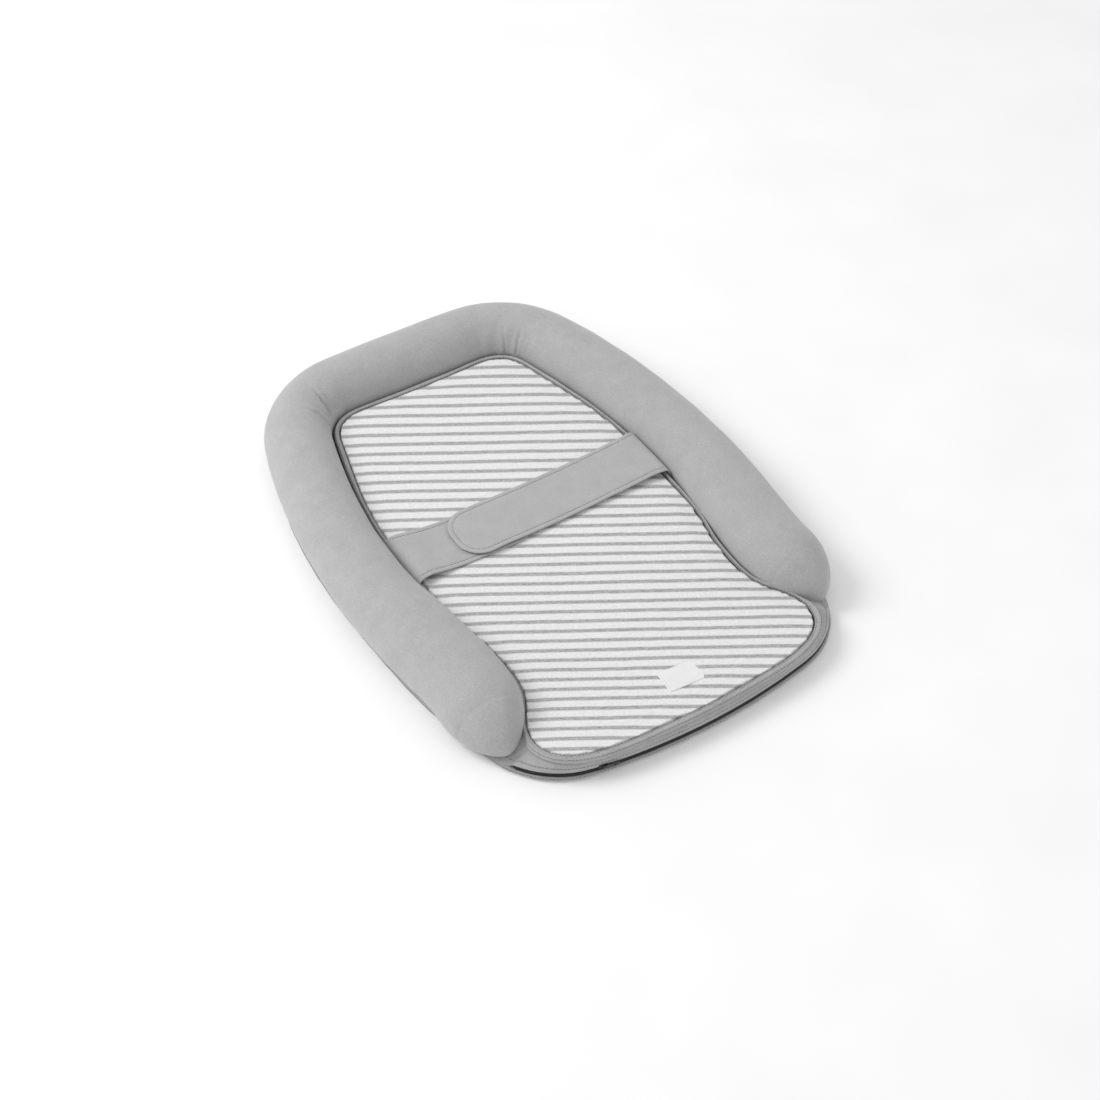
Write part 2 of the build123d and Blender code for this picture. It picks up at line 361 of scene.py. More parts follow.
def finish_cushion(obj, material, slot, fill, *nodes):
    """Material and body of one stuffed piece of the pad, in place of CAD nodes."""
    obj.data.materials.clear()
    obj.data.materials.append(material)
    place_piece(obj, slot, *nodes)


def finish_strip(obj, slot, node, flat, rests_on="mat_panel", held="stretched", **more):
    """Body of one sheet of the pad, in place of one CAD node."""
    flat = tuple(float(size) for size in flat)
    place_piece(obj, slot, node)


def repaint(node, material):
    """Gives a carried-over CAD node a better material."""
    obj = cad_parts[node]
    if not obj.material_slots:
        obj.data.materials.append(material)
    for slot in obj.material_slots:
        slot.material = material


# ---- Materials ----


class Nodes:
    """A material's node tree, with short calls to add and link nodes."""

    def __init__(self, name, roughness, sheen=0.0, specular=0.3, metallic=0.0):
        self.material = bpy.data.materials.new(name)
        self.material.use_nodes = True
        self.tree = self.material.node_tree
        self.shader = self.tree.nodes["Principled BSDF"]
        for socket, value in (
            ("Roughness", roughness),
            ("Sheen Weight", sheen),
            ("Sheen Roughness", 0.5),
            ("Specular IOR Level", specular),
            ("Metallic", metallic),
        ):
            self.shader.inputs[socket].default_value = value

    def add(self, kind, inputs=None, **settings):
        """New node; inputs are values or other nodes' output sockets."""
        node = self.tree.nodes.new("ShaderNode" + kind)
        for key, value in settings.items():
            setattr(node, key, value)
        for key, value in (inputs or {}).items():
            if isinstance(value, bpy.types.NodeSocket):
                self.tree.links.new(value, node.inputs[key])
            else:
                node.inputs[key].default_value = value
        return node

    def place(self, scale=(1, 1, 1), turn=0.0, cloth=False):
        """Coordinates in metres, turned about Z and scaled; cloth takes the strip's own ones."""
        source = self.add("TexCoord")
        out = source.outputs["UV" if cloth else "Object"]
        turned = self.add("Mapping", {"Vector": out, "Rotation": (0, 0, turn)})
        return self.add("Mapping", {"Vector": turned.outputs[0], "Scale": scale}).outputs[0]

    def noise(self, vector, scale=1.0, detail=3.0, rough=0.55):
        inputs = {"Vector": vector, "Scale": scale, "Detail": detail, "Roughness": rough}
        return self.add("TexNoise", inputs).outputs["Fac"]

    def math(self, operation, a, b=0.0, c=0.0):
        return self.add("Math", {0: a, 1: b, 2: c}, operation=operation).outputs[0]

    def spread(self, value, low, high, to_low=0.0, to_high=1.0):
        """Stretches value from low..high to to_low..to_high, and stops there."""
        inputs = {"Value": value, "From Min": low, "From Max": high,
                  "To Min": to_low, "To Max": to_high}
        return self.add("MapRange", inputs, clamp=True).outputs[0]

    def clouds(self, vector, scale, detail, rough=0.55, to_low=0.0, to_high=1.0):
        """Noise stretched over to_low..to_high, with flat extremes."""
        return self.spread(self.noise(vector, scale, detail, rough), 0.3, 0.7, to_low, to_high)

    def mix(self, share, a, b):
        """Colour between a and b; the Mix node's colour sockets are 6 and 7."""
        return self.add("Mix", {0: share, 6: a, 7: b}, data_type="RGBA").outputs[2]

    def finish(self, colour, height=None, distance=0.3 * MM, strength=0.6, roughness=None):
        link = self.tree.links.new
        link(colour, self.shader.inputs["Base Color"])
        if roughness is not None:
            link(roughness, self.shader.inputs["Roughness"])
        if height is not None:
            bump = self.add("Bump", {"Height": height, "Distance": distance,
                                     "Strength": strength})
            link(bump.outputs[0], self.shader.inputs["Normal"])
        return self.material


def grey(value):
    """Colour of a linear grey."""
    return (value, value, value, 1.0)


def knit_height(n, vector, wale=1.5 * MM, course=1.15 * MM):
    """Height of a fine jersey knit: columns of loops, each loop a soft bump."""
    parts = n.add("SeparateXYZ", {"Vector": vector})
    wobble = n.noise(vector, 260.0, 2.0)
    x = n.math("MULTIPLY_ADD", wobble, 1.2 * MM, parts.outputs[0])
    y = n.math("MULTIPLY_ADD", wobble, 0.9 * MM, parts.outputs[1])
    columns = n.math("SINE", n.math("MULTIPLY", x, 2 * math.pi / wale))
    lean = n.math("MULTIPLY_ADD", n.math("ABSOLUTE", columns), 0.35 * course, y)
    rows = n.math("SINE", n.math("MULTIPLY", lean, 2 * math.pi / course))
    loops = n.math("MULTIPLY", n.math("ABSOLUTE", columns), n.math("MULTIPLY_ADD", rows, 0.4, 0.6))
    fibres = n.noise(vector, 2600.0, 3.0)
    return n.math("MULTIPLY_ADD", fibres, 0.5, loops)


def jersey(name, light, dark, cloth=False, strength=0.45, sheen=0.35, lint=0.25):
    """Heathered knit: fine light and dark fibres, soft larger patches and a little lint."""
    n = Nodes(name, 0.92, sheen=sheen, specular=0.18)
    flat = n.place(cloth=cloth)
    fibres = n.noise(n.place(scale=(420, 980, 700), turn=0.5, cloth=cloth), 1.0, 4.0, 0.65)
    heather = n.spread(fibres, 0.3, 0.68)
    patches = n.clouds(flat, 46.0, 4.0, 0.6)
    share = n.math("MULTIPLY_ADD", heather, 0.7, n.math("MULTIPLY", patches, 0.3))
    colour = n.mix(share, dark, light)
    specks = n.add("TexVoronoi", {"Vector": flat, "Scale": 150.0}).outputs["Distance"]
    fluff = n.math("MULTIPLY", n.spread(specks, 0.16, 0.05), lint)
    colour = n.mix(fluff, colour, grey(0.72))
    rough = n.spread(fibres, 0.2, 0.8, 0.82, 1.0)
    return n.finish(colour, knit_height(n, flat), strength=strength, roughness=rough)


STRIPE_ANGLE = math.radians(-30.6)
STRIPE_PITCH = 15.1 * MM
STRIPE_SHARE = 0.36
STRIPE_SHIFT = 0.166
STRIPE_EASE = 0.3  # how much the knit is stretched towards the head, per metre


def striped_jersey():
    """White knit with thin heathered grey stripes that run across it at a slant."""
    n = Nodes("striped_jersey", 0.92, sheen=0.3, specular=0.18)
    flat = n.place()
    turned = n.place(turn=-STRIPE_ANGLE)
    across = n.add("SeparateXYZ", {"Vector": turned})
    uneven = n.math("SUBTRACT", n.noise(flat, 60.0, 3.0), 0.5)
    wander = n.math("MULTIPLY_ADD", uneven, 1.4 * MM, across.outputs[1])
    eased = n.math("MULTIPLY", wander, n.math("MULTIPLY_ADD", wander, -STRIPE_EASE, 1.0))
    phase = n.math("FRACT", n.math("MULTIPLY_ADD", eased, 1 / STRIPE_PITCH, STRIPE_SHIFT))
    distance = n.math("ABSOLUTE", n.math("SUBTRACT", phase, 0.5))
    dashes = n.noise(n.place(scale=(330, 1300, 700), turn=-STRIPE_ANGLE), 1.0, 3.0, 0.6)
    edge = n.math("MULTIPLY_ADD", dashes, 0.07, STRIPE_SHARE / 2 - 0.035)
    inside = n.spread(n.math("SUBTRACT", edge, distance), -0.06, 0.06)
    yarn = n.mix(n.spread(dashes, 0.34, 0.66), grey(0.27), grey(0.53))
    ground = n.mix(n.clouds(flat, 700.0, 3.0), grey(0.69), grey(0.89))
    faint = n.mix(n.clouds(flat, 30.0, 3.0, to_high=0.3), ground, grey(0.8))
    colour = n.mix(inside, faint, yarn)
    height = n.math("MULTIPLY_ADD", inside, 0.25, knit_height(n, turned))
    return n.finish(colour, height, strength=0.5)


def woven(name, light, dark, pitch, cloth=False, roughness=0.7, sheen=0.1, strength=0.6):
    """Plain weave: over and under threads in two directions."""
    n = Nodes(name, roughness, sheen=sheen, specular=0.3)
    flat = n.place(cloth=cloth)
    parts = n.add("SeparateXYZ", {"Vector": flat})
    turns = 2 * math.pi / pitch
    a = n.math("SINE", n.math("MULTIPLY", parts.outputs[0], turns))
    b = n.math("SINE", n.math("MULTIPLY", parts.outputs[1], turns))
    height = n.math("MULTIPLY_ADD", n.math("MULTIPLY", a, b), 0.5, 0.5)
    worn = n.clouds(flat, 60.0, 4.0)
    share = n.math("MULTIPLY_ADD", height, 0.6, n.math("MULTIPLY", worn, 0.4))
    colour = n.mix(share, dark, light)
    uneven = n.math("MULTIPLY_ADD", n.noise(flat, 1500.0, 2.0), 0.4, height)
    rough = n.spread(worn, 0.0, 1.0, roughness - 0.08, roughness + 0.08)
    return n.finish(colour, uneven, distance=0.2 * MM, strength=strength, roughness=rough)


def metal():
    """Dark painted zip metal, rubbed bright on its raised parts."""
    n = Nodes("zip_metal", 0.4, specular=0.5, metallic=0.2)
    flat = n.place()
    scratches = n.noise(n.place(scale=(300, 2600, 900)), 1.0, 5.0, 0.7)
    worn = n.spread(n.add("NewGeometry").outputs["Pointiness"], 0.5, 0.62)
    share = n.math("MULTIPLY", worn, n.spread(scratches, 0.35, 0.6))
    colour = n.mix(share, grey(0.012), grey(0.12))
    rough = n.clouds(flat, 900.0, 4.0, to_low=0.26, to_high=0.5)
    return n.finish(colour, scratches, distance=0.05 * MM, strength=0.3, roughness=rough)


def nylon():
    """Black nylon of the zip's coils."""
    n = Nodes("zip_coil", 0.3, specular=0.5)
    flat = n.place()
    dust = n.spread(n.noise(flat, 700.0, 5.0), 0.45, 0.75)
    colour = n.mix(dust, grey(0.006), grey(0.035))
    return n.finish(colour, n.noise(flat, 2000.0, 2.0), distance=0.05 * MM, strength=0.3,
                    roughness=n.spread(dust, 0, 1, 0.25, 0.5))


def fastener(name, light, dark, scale, strength):
    """Hook or loop tape: a field of small raised tufts."""
    n = Nodes(name, 0.8, sheen=0.3, specular=0.3)
    flat = n.place()
    cells = n.add("TexVoronoi", {"Vector": flat, "Scale": scale, "Randomness": 0.6})
    tufts = n.spread(cells.outputs["Distance"], 0.5, 0.1)
    colour = n.mix(tufts, dark, light)
    return n.finish(colour, tufts, distance=0.5 * MM, strength=strength)


def paper_floor():
    n = Nodes("floor", 0.9, specular=0.1)
    return n.finish(n.mix(n.clouds(n.place(), 6.0, 2.0), grey(0.94), grey(0.97)))


BOLSTER = jersey("bolster_jersey", grey(0.48), grey(0.335))
STRIPED = striped_jersey()
BINDING = jersey("binding_jersey", grey(0.51), grey(0.25), cloth=True, lint=0.1)
WALL = jersey("wall_fabric", grey(0.50), grey(0.27), cloth=True, lint=0.1)
BELT = jersey("belt_jersey", grey(0.49), grey(0.35), cloth=True, lint=0.15)
EDGING = woven("edge_tape", grey(0.42), grey(0.28), 0.9 * MM, cloth=True)
UNDERSIDE = woven("underside_fabric", grey(0.42), grey(0.31), 1.3 * MM)
TAPE = woven("zip_tape", grey(0.02), grey(0.008), 0.8 * MM, cloth=True)
COIL = nylon()
METAL = metal()
LABEL = woven("label_tape", grey(0.85), grey(0.74), 0.6 * MM, strength=0.35)
# Dark grey thread: partly its own colour, partly painted shade, darkened so that stitch rows also show
# the shadow lines of their seams.
THREAD_AND_SEAM_SHADE = woven("thread", grey(0.17), grey(0.09), 0.5 * MM)
LABEL_THREAD = woven("label_thread", grey(0.85), grey(0.6), 0.5 * MM)
HOOKS = fastener("hook_tape", grey(0.4), grey(0.2), 800.0, 0.9)
LOOPS = fastener("loop_tape", grey(0.5), grey(0.32), 1100.0, 0.7)


# ---- Bolster ----


def roll_line(spacing=3 * MM):
    """Right half of the bolster's line, head middle to tube end: points and headings."""
    x, y, heading = 0.0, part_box("bolster_cover")[1].y - CAD_ROLL_RADIUS, 0.0
    points = []
    for radius, amount in ((None, HEAD_HALF_STRAIGHT),) + ROLL_ARCS:
        turn = 0.0 if radius is None else math.radians(amount)
        length = amount if radius is None else radius * abs(turn)
        steps = max(2, round(length / spacing))
        for _ in range(steps):
            points.append((x, y, heading))
            middle = heading - turn / steps / 2
            x += length / steps * math.cos(middle)
            y += length / steps * math.sin(middle)
            heading -= turn / steps
    points.append((x, y, heading))
    return np.array(points)


def roll_stations():
    """Whole bolster from tip to tip, a row each: x, y, heading, radius, length, sag."""
    line = roll_line()
    along = along_path(line[:, :2])
    slim = HEAD_CORNER_SLIM * bell(along - 145 * MM, 70 * MM)
    swell = FOOT_SWELL * ease((along - 380 * MM) / (200 * MM))
    radius = ROLL_RADIUS - slim + swell
    x, y, heading = line[-1]
    reach = np.sin(np.linspace(0, math.pi / 2, END_STEPS + 1))[1:]
    length, drift = END_LENGTH * reach, END_DRIFT * reach**2
    tip = np.stack([
        x + length * math.cos(heading) - drift * math.sin(heading),
        y + length * math.sin(heading) + drift * math.cos(heading),
        heading + 0 * reach,
        np.maximum(radius[-1] * np.maximum(0, 1 - reach**2) ** END_BLUNTNESS, 0.2 * MM),
        along[-1] + length,
        END_SAG * reach**2,
    ], 1)
    right = np.vstack([np.c_[line, radius, along, 0 * along], tip])
    left = right[:0:-1] * [-1, 1, -1, 1, -1, 1]
    return np.vstack([left, right])


STATIONS = roll_stations()
TUBE_LENGTH = STATIONS[:, 4].max() - END_LENGTH


def soft_floor(z, floor, round_size):
    """Keeps z above floor, with a rounded turn of about round_size."""
    return floor + round_size * np.logaddexp(0, (z - floor) / round_size)


def roll_shape(shrink):
    """Closed form of the bolster, its radius smaller by shrink: points [station, section]."""
    x, y, heading, radius, _, sag = STATIONS.T[:, :, None]
    radius = np.maximum(radius - shrink, 0.2 * MM)
    turn = np.linspace(0, 2 * math.pi, ROLL_SIDES, endpoint=False)
    below_belt = ease((-38 * MM - y) / (45 * MM))
    radius = radius * (1 + INNER_SHOULDER * below_belt * bell(turn - math.radians(140), 0.5))
    z = ROLL_HEIGHT - sag + radius * np.sin(turn)
    side = radius * np.cos(turn) * (1 - 0.06 * ease((18 * MM - z) / (10 * MM)))
    z = soft_floor(z, ROLL_FLOOR, 2.2 * MM)
    return np.stack([x - np.sin(heading) * side, y + np.cos(heading) * side, z], 2)


def on_roll(co):
    """For each point, its station's length from the head middle and its angle round the roll."""
    length, angle = np.zeros(len(co)), np.zeros(len(co))
    for part in np.array_split(np.arange(len(co)), 40):
        gap = co[part, None, :2] - STATIONS[None, :, :2]
        spot = STATIONS[(gap**2).sum(2).argmin(1)]
        ahead = np.stack([np.cos(spot[:, 2]), np.sin(spot[:, 2])], 1)
        out = np.stack([-ahead[:, 1], ahead[:, 0]], 1)
        off = co[part, :2] - spot[:, :2]
        length[part] = spot[:, 4] + (off * ahead).sum(1)
        angle[part] = np.arctan2(co[part, 2] - ROLL_HEIGHT, (off * out).sum(1))
    return length, angle


def inflate(obj, cap, pinned, voxel, pressure=4.0, frames=20):
    """Cloth simulation of a stuffed piece, applied; no point moves further than cap."""
    work = obj.modifiers.new("voxels", "REMESH")
    work.mode, work.voxel_size, work.use_smooth_shade = "VOXEL", voxel, True
    even = obj.modifiers.new("even", "SMOOTH")
    even.factor, even.iterations = 0.5, 4
    apply_modifiers(obj)
    start = vertex_array(obj)
    shift = simulated(obj, pinned(start), pressure, frames) - start
    reach = np.linalg.norm(shift, axis=1)[:, None]
    set_vertices(obj, start + shift * np.minimum(1, cap / np.maximum(reach, 1e-9)))
    finer = obj.modifiers.new("finer", "SUBSURF")
    finer.levels = finer.render_levels = 1
    apply_modifiers(obj)


def simulated(obj, pinned, pressure, frames):
    """Where the vertices are after a cloth simulation with inner pressure and no gravity."""
    held = obj.vertex_groups.new(name="held")
    held.add(np.flatnonzero(pinned).tolist(), 1.0, "REPLACE")
    cloth = obj.modifiers.new("cloth", "CLOTH")
    for setting, value in (
        ("quality", 4), ("mass", 0.25), ("tension_stiffness", 9), ("compression_stiffness", 9),
        ("shear_stiffness", 4), ("bending_stiffness", 0.3), ("use_pressure", True),
        ("uniform_pressure_force", pressure), ("vertex_group_mass", "held"),
    ):
        setattr(cloth.settings, setting, value)
    cloth.settings.effector_weights.gravity = 0
    cloth.collision_settings.use_collision = False
    cloth.point_cache.frame_end = frames
    for step in range(1, frames + 1):
        bpy.context.scene.frame_set(step)
    moved = vertex_array(obj.evaluated_get(bpy.context.evaluated_depsgraph_get()))
    obj.modifiers.remove(cloth)
    bpy.context.scene.frame_set(1)
    return moved


def apply_modifiers(obj):
    graph = bpy.context.evaluated_depsgraph_get()
    graph.update()
    old = obj.data
    mesh = bpy.data.meshes.new_from_object(obj.evaluated_get(graph))
    obj.modifiers.clear()
    obj.data = mesh
    bpy.data.meshes.remove(old)
    shade_smooth(mesh)


# Creases in the bolster cover: length from the head middle, angle where it starts and ends
# (0 is outside, 90 on top), slant of the crease along the roll, half width and depth
CREASES = (
    (-152, 160, 102, 17, 2.4, 3.0),
    (-178, 170, 104, 3, 2.4, 2.2),
    (-203, 168, 130, 6, 2.8, 1.0),
    (147, 176, 126, -5, 2.3, 1.5),
    (171, 174, 122, 2, 2.3, 1.9),
    (192, 170, 138, 8, 2.6, 0.7),
)


def crease_depth(length, angle):
    """How deep the creases press into the cover at each place."""
    depth = np.zeros(len(length))
    turn = np.degrees(angle) % 360
    for at, low, high, slant, width, deep in CREASES:
        share = (low - turn) / (low - high)
        off = length - (at + slant * share) * MM
        fade = ease((share + 0.15) / 0.3) * ease((1.15 - share) / 0.6)
        lips = bell(np.abs(off) - 2.2 * width * MM, 1.3 * width * MM)
        depth += deep * MM * fade * (bell(off, width * MM) - 0.35 * lips)
    return depth


def build_bolster():
    """Stuffed roll, softly uneven and creased, with its two end caps cut off as pieces."""
    points = roll_shape(shrink=1.7 * MM)
    tube = solid_object("bolster_tube", points, along_rows=True)
    inflate(tube, SWELL, lambda co: co[:, 2] < ROLL_FLOOR + 1.2 * MM, voxel=5 * MM)
    co, normals = vertex_array(tube), vertex_array(tube, "normal")
    length, angle = on_roll(co)
    rise = ease((co[:, 2] - 12 * MM) / (14 * MM))
    soft = 0.45 * MM * waves(co, (0.05, 0.07, 0.09, 0.13), 3) * rise
    inner = bell(np.abs(length) - 125 * MM, 45 * MM) * ease(-np.cos(angle) * 1.6 - 0.2)
    puckers = 0.5 * MM * np.sin(length / (5.2 * MM) + 2 * angle) * inner
    set_vertices(tube, co + normals * (soft + puckers - crease_depth(length, angle))[:, None])
    for side, hand in ((1, "right"), (-1, "left")):
        split_end(tube, side, hand)
    tube.data.name = "bolster_tube"
    finish_cushion(tube, BOLSTER, "bolster_jersey", 0.9, "bolster_cover", "bolster_filling")


def split_end(tube, side, hand):
    """Cuts one end cap off the tube as its own piece, with a sewn groove between them."""
    end = STATIONS[np.abs(STATIONS[:, 4] - TUBE_LENGTH).argmin()]
    heading = STATIONS[-1, 2]
    way = Vector((side * math.cos(heading), math.sin(heading), 0))
    point = Vector((side * end[0], end[1], 0)) + way * CAP_SEAM
    mesh = bpy.data.meshes.new(f"bolster_end_{hand}")

    def this_side(work, limit):
        """Faces on this side of the pad, nearer to the foot than limit."""
        centres = ((f, f.calc_center_median()) for f in work.faces)
        return [f for f, centre in centres if side * centre.x > 0 and centre.y < limit]

    with editing(tube.data) as work:
        near = this_side(work, point.y + 80 * MM)
        parts = dict.fromkeys(part for f in near for part in (*f.edges, *f.verts))
        bmesh.ops.bisect_plane(work, geom=near + list(parts), plane_co=point, plane_no=way, dist=1e-6)
        bmesh.ops.recalc_face_normals(work, faces=work.faces)
        work.normal_update()
        for v in work.verts:
            beside = side * v.co.x > 0 and abs(v.co.y - point.y) < 30 * MM
            if beside and v.co.z > ROLL_FLOOR + 1 * MM:
                v.co -= v.normal * SEAM_DEPTH * float(bell((v.co - point).dot(way), 2.0 * MM))
        beyond = [f for f in this_side(work, -150 * MM)
                  if (f.calc_center_median() - point).dot(way) > 0]
        work.faces.index_update()
        numbers = {f.index for f in beyond}
        cap = work.copy()
        rest = [f for k, f in enumerate(cap.faces) if k not in numbers]
        bmesh.ops.delete(cap, geom=rest, context="FACES")
        bmesh.ops.delete(work, geom=beyond, context="FACES")
        cap.to_mesh(mesh)
        cap.free()
    shade_smooth(mesh)
    finish_cushion(add_to_scene(mesh.name, mesh), BOLSTER, "bolster_jersey", 0.9,
                   f"bolster_cap_{hand}")


build_bolster()


# ---- Mat ----

COUNT = 720  # points round each outline
TOP_LINE = node_outline("mat_top", COUNT)
BASE_LINE = node_outline("bottom_panel", COUNT)
MAT_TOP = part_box("mat_top")[1].z
FOOT_LEFT_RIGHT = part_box("foot_wall")[1].y  # where the foot wall meets the bolster


def edge_gap(co, outline):
    """Distance of each point from an outline, seen from above."""
    gap = np.zeros(len(co))
    for part in np.array_split(np.arange(len(co)), 60):
        gap[part] = np.linalg.norm(co[part, None, :2] - outline[None, ::2], axis=2).min(1)
    return gap


def build_mat():
    """Stuffed mat: inflated, crowned slab under its striped knit top."""
    inner = TOP_LINE - outward(TOP_LINE) * 0.4 * MM
    low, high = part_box("foam_core")[0].z, MAT_TOP
    levels = np.array([[0, low], [0, low + 5 * MM], [0, high - 4 * MM], [-0.2 * MM, high - 1 * MM],
                       [-1.2 * MM, high - 0.2 * MM], [-4 * MM, high]])
    obj = solid_object("mat_panel", loft(inner, *levels.T))

    def held(co):
        return (co[:, 2] < high - 1.2 * MM) | (edge_gap(co, inner) < 5 * MM)

    inflate(obj, CROWN, held, voxel=4 * MM, pressure=3.0)
    co = vertex_array(obj)
    gap = edge_gap(co, inner)
    upper = ease((co[:, 2] - high + 5 * MM) / (5 * MM))
    lifted = high - 0.4 * MM * bell(gap, 2.5 * MM)
    crowned = lifted + (co[:, 2] - lifted) * ease(gap / (14 * MM))
    co[:, 2] = np.where(upper > 0.3, crowned, co[:, 2])
    soft = 0.35 * MM * waves(co[:, :2], (0.06, 0.09, 0.14), 11) * ease(gap / (20 * MM))
    under_belt = -0.5 * MM * bell(co[:, 1] - BELT_MIDDLE_Y, 42 * MM)
    co[:, 2] += upper * (soft + under_belt * ease(gap / (15 * MM)))
    set_vertices(obj, co)
    finish_cushion(obj, STRIPED, "striped_jersey", 0.35, "mat_top", "mat_wadding", "foam_core")


def binding_reach():
    """How far the binding reaches out from its seam: all the way at the foot, less by the roll."""
    to_roll = np.linalg.norm(TOP_LINE[:, None] - STATIONS[None, :, :2], axis=2) - STATIONS[:, 3]
    room = smooth_closed(np.clip(to_roll.min(1) - 0.9 * MM, 4.0 * MM, BINDING_WIDE), 12)
    under_belt = ease((46 * MM - np.abs(TOP_LINE[:, 1] - BELT_MIDDLE_Y)) / (8 * MM))
    room = room * (1 - under_belt) + np.minimum(room, 4.4 * MM) * under_belt
    return room * (1 - OPEN) + BINDING_WIDE * OPEN


OPEN = ease((FOOT_LEFT_RIGHT + 22 * MM - TOP_LINE[:, 1]) / (28 * MM))  # 1 round the open foot
BINDING_OUT = binding_reach()

# Section of the binding from its seam over its rounded back to its tucked edge: share of its
# reach, height over the mat's top, and how much lower it lies beside the bolster (mm)
BINDING_SECTION = np.array([
    (0.0, -2.6, 0), (0.02, -0.9, 0), (0.07, 0.2, 0), (0.14, 0.75, 0), (0.2, 0.6, 0),
    (0.25, -0.1, 0), (0.31, 0.3, 0.1), (0.42, 1.0, 0.15), (0.56, 1.25, 0.3), (0.72, 1.0, 0.7),
    (0.86, 0.35, 1.1), (0.96, -0.8, 1.4), (1.0, -2.2, 1.6), (0.96, -3.4, 1.7), (0.84, -4.1, 1.7),
    (0.7, -4.4, 1.8),
])


def binding_points():
    """Points of the binding, its back softly uneven and puckered round the foot."""
    share, lift, tuck = BINDING_SECTION.T
    along, at_foot = along_path(TOP_LINE)[:, None], OPEN[:, None]
    soft = 0.25 * waves(TOP_LINE, (0.035, 0.06, 0.09), 5)[:, None]
    soft = soft + 0.22 * np.sin(along / (9.3 * MM))
    pucker = np.sin(along / (1.7 * MM) + 8 * share + 2.5 * np.sin(along / (19 * MM)))
    pucker = pucker * (0.5 + 0.5 * np.sin(along / (27 * MM) + 1)) * at_foot
    back = share * (1 - share) * 4
    lift = lift - (1 - at_foot) * tuck + (soft + 0.95 * pucker) * back
    return loft(TOP_LINE, BINDING_OUT[:, None] * share, MAT_TOP + lift * MM)


def build_binding():
    """Bias binding sewn round the mat's edge, and its two rows of stitches; the thick dark inner row is
    also painted shade, the shadow line of the seam.
    """
    points = binding_points()
    obj = strip_object("mat_edge_binding", TOP_LINE, points, BINDING)
    rows = []
    # The inner row is real stitching made thick and dark, painted shade that stands in for the shadow
    # down in the seam.
    for place, column, lift, radius in (("inner", 1, 0.5 * MM, 0.55 * MM),
                                        ("outer", 10, 0.0, THREAD_RADIUS)):
        path = looped(points[:, column]) + [0, 0, lift]
        up = np.tile([0.0, 0.0, 1.0], (len(path), 1))
        rows.append(stitch_row(f"mat_binding_stitches_and_seam_shade_{place}", "binding_jersey", path, up, radius))
    finish_strip(obj, "binding_jersey", "mat_binding",
                 (across_strip(points)[:, -1].mean(), loop_length(TOP_LINE)), with_pieces=rows)


def build_mat_side():
    """Plain side of the mat, down in the groove beside the bolster."""
    top, bottom = MAT_TOP - 5 * MM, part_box("mat_wall")[0].z
    bulge = np.array([0.4, 1.0, 1.3, 1.2, 0.9, 0.5]) * MM
    points = loft(TOP_LINE, bulge, np.linspace(top, bottom, len(bulge)))
    obj = strip_object("mat_side", TOP_LINE, points, WALL)
    finish_strip(obj, "wall_fabric", "mat_wall",
                 (top - bottom + 0.3 * MM, loop_length(TOP_LINE)))


# ---- Foot wall and zip ----


def foot_stretch(limit):
    """Part of the base's edge round the foot, left to right, up to y = limit: points, outward."""
    order = np.arange(COUNT) - COUNT // 2
    order = order[BASE_LINE[order, 1] < limit]
    return BASE_LINE[order], outward(BASE_LINE)[order]


ZIP_LINE, ZIP_OUT = foot_stretch(FOOT_LEFT_RIGHT)


def moved_in(line, out, inset, z):
    """An edge line at height z, moved in by inset."""
    return np.concatenate([line - out * inset, np.full((len(line), 1), z)], 1)


def matched_top_line(line):
    """For each point of a foot line, the point of the binding's outer edge nearest to it."""
    outer = TOP_LINE + outward(TOP_LINE) * (BINDING_OUT - 2.4 * MM)[:, None]
    gap = np.linalg.norm(line[:, None, :2] - outer[None], axis=2)
    nearest = outer[gap.argmin(1)]
    for _ in range(30):  # evened out along the line
        nearest[1:-1] = 0.25 * nearest[:-2] + 0.5 * nearest[1:-1] + 0.25 * nearest[2:]
    return nearest


def build_foot_wall():
    """Grey fabric from the binding down to the zip: upright in the middle, a slope at the corners."""
    line, out = foot_stretch(FOOT_LEFT_RIGHT + 45 * MM)
    low = moved_in(line, out, 1.9 * MM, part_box("foot_wall")[0].z - 0.2 * MM)
    low[:, 2] -= 5.0 * MM * ease((line[:, 1] - FOOT_LEFT_RIGHT + 2 * MM) / (7 * MM))
    top, high = matched_top_line(low), MAT_TOP - 4.0 * MM
    share = np.linspace(0, 1, 14)
    middle = np.sin(share * math.pi)
    wide = ease((np.linalg.norm(top - low[:, :2], axis=1) - 6 * MM) / (20 * MM))[:, None]
    along = along_path(low)[:, None]
    bulge = (1.5 + 0.6 * wide) * MM * middle
    ripple = 0.4 * MM * np.sin(along / (2.6 * MM) + 1.5 * np.sin(along / (23 * MM)))
    ripple = ripple * (0.6 + 0.4 * np.sin(along / (31 * MM))) * middle
    flat = top[:, None] + (low[:, None, :2] - top[:, None]) * share[:, None]
    flat += out[:, None] * (bulge * 0.8 + ripple)[:, :, None]
    fall = 1 - (1 - share) ** (1.0 + 0.7 * wide)
    height = high + (low[:, 2:] - high) * fall + bulge * 0.9 + ripple * 0.6
    edge = np.c_[flat[:, -1], height[:, -1]]
    hem = [moved_in(edge[:, :2], out, inset * MM, edge[:, 2:] - drop * MM)
           for inset, drop in ((-0.3, 0.5), (1.0, 0.7))]
    points = np.concatenate([flat, height[:, :, None]], 2)
    points = np.concatenate([points, np.stack(hem, 1)], 1)
    obj = strip_object("foot_panel", low, points, WALL, closed=False)
    tilt = np.c_[out, np.ones(len(out))]
    row = stitch_row("foot_panel_stitches", "wall_fabric", points[:, -7] + [0, 0, 0.1 * MM], tilt)
    widths = across_strip(points)[:, -1]
    area = float((widths[:-1] * np.diff(along[:, 0])).sum())
    finish_strip(obj, "wall_fabric", "foot_wall", (widths.max(), along[-1, 0]),
                 area=area, with_pieces=[row])


